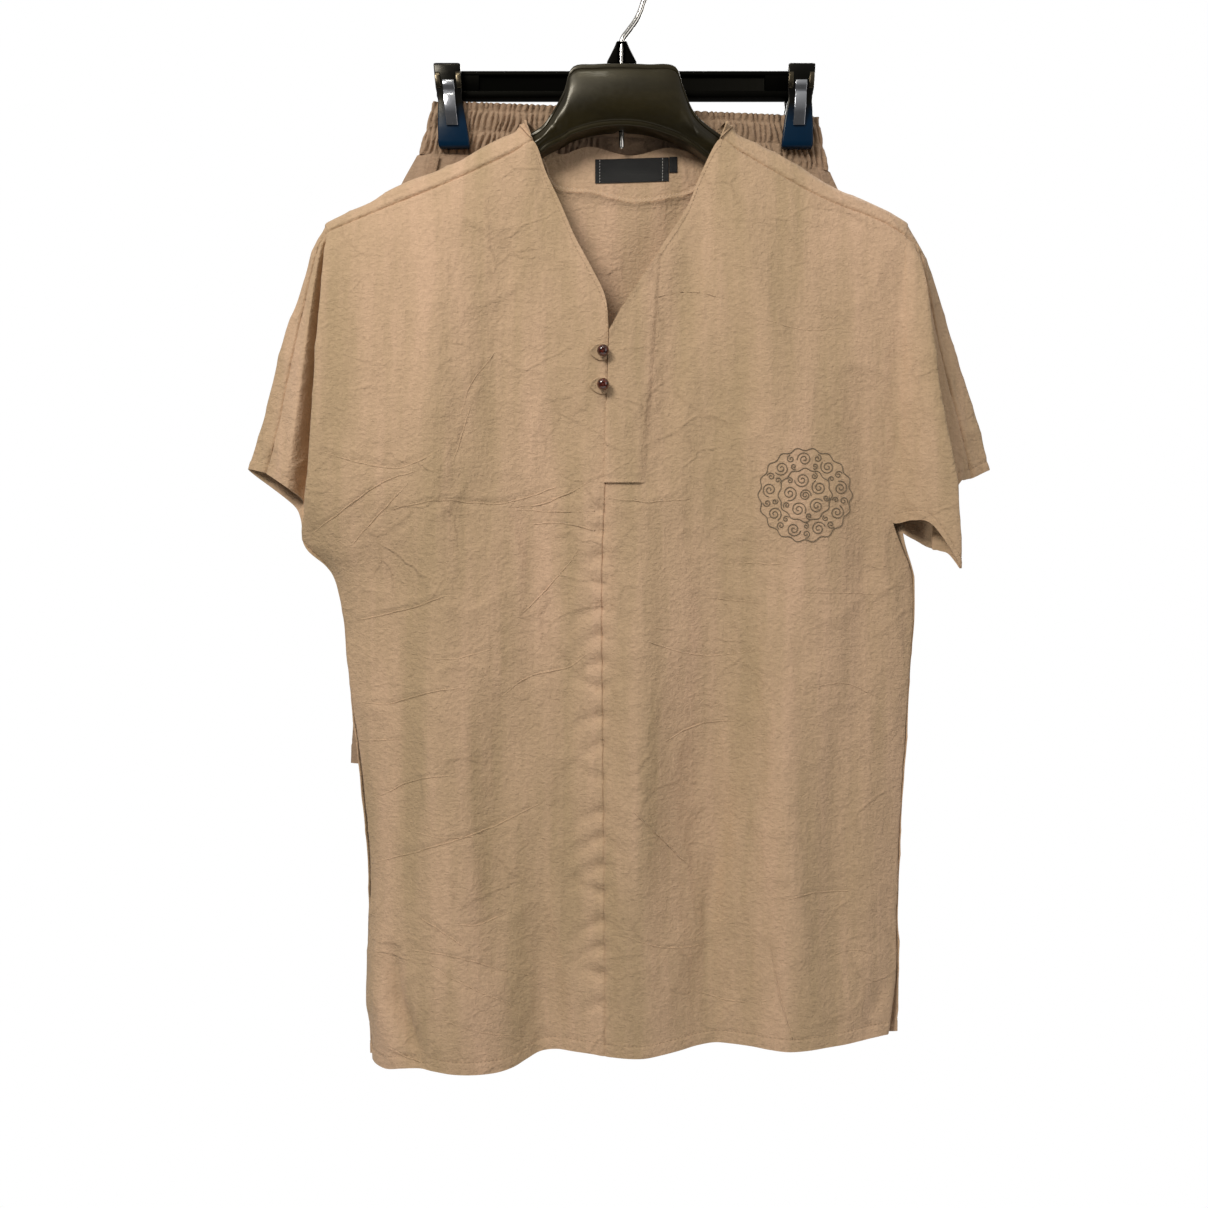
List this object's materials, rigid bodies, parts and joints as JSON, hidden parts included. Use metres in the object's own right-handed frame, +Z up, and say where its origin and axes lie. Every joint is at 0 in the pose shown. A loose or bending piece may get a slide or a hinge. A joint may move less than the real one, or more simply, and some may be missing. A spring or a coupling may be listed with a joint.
{
  "type": "short-sleeve shirt and shorts set on a shirt hanger and a clip hanger",
  "caption": "Short-sleeve V-neck cotton shirt on a moulded hanger, with matching elastic-waist shorts clipped to a bar hanger behind it.",
  "frame": {"origin": "where the hook's loop bears on a rail, at the inner top of the loop in the plane of its shaft", "axes": "+X to the viewer's right, +Y away from the viewer (the shirt's front faces -Y), +Z up"},
  "size_m": [0.5771, 0.0906, 0.8607],
  "materials": {
    "shirt_cloth": "beige slub cotton-linen with a fine crinkle",
    "shorts_cloth": "beige slub cotton-linen, slightly greyer",
    "hanger_black": "glossy black moulding",
    "clip_black": "glossy blue-black moulding",
    "chrome": "bright plated wire and strip",
    "bead_amber": "polished dark amber",
    "label_black": "woven black tape"
  },
  "bodies": {
    "root": {"front_left": "shirt_cloth", "front_right": "shirt_cloth", "back": "shirt_cloth", "neckband": "shirt_cloth", "placket": "shirt_cloth", "loop_upper": "shirt_cloth", "loop_lower": "shirt_cloth", "button_upper": "bead_amber", "button_lower": "bead_amber", "neck_label": "label_black", "size_tab": "label_black", "waistband": "shorts_cloth", "shorts_front_left": "shorts_cloth", "shorts_front_right": "shorts_cloth", "shorts_back_left": "shorts_cloth", "shorts_back_right": "shorts_cloth", "pocket_left": "shorts_cloth", "pocket_right": "shorts_cloth", "shirt_hanger": "hanger_black", "clip_hanger": "hanger_black", "gusset": "hanger_black", "hook": "chrome", "clip_left_front": "clip_black", "clip_left_back": "clip_black", "clip_left_spring": "chrome", "clip_right_front": "clip_black", "clip_right_back": "clip_black", "clip_right_spring": "chrome"}
  },
  "joints": []
}
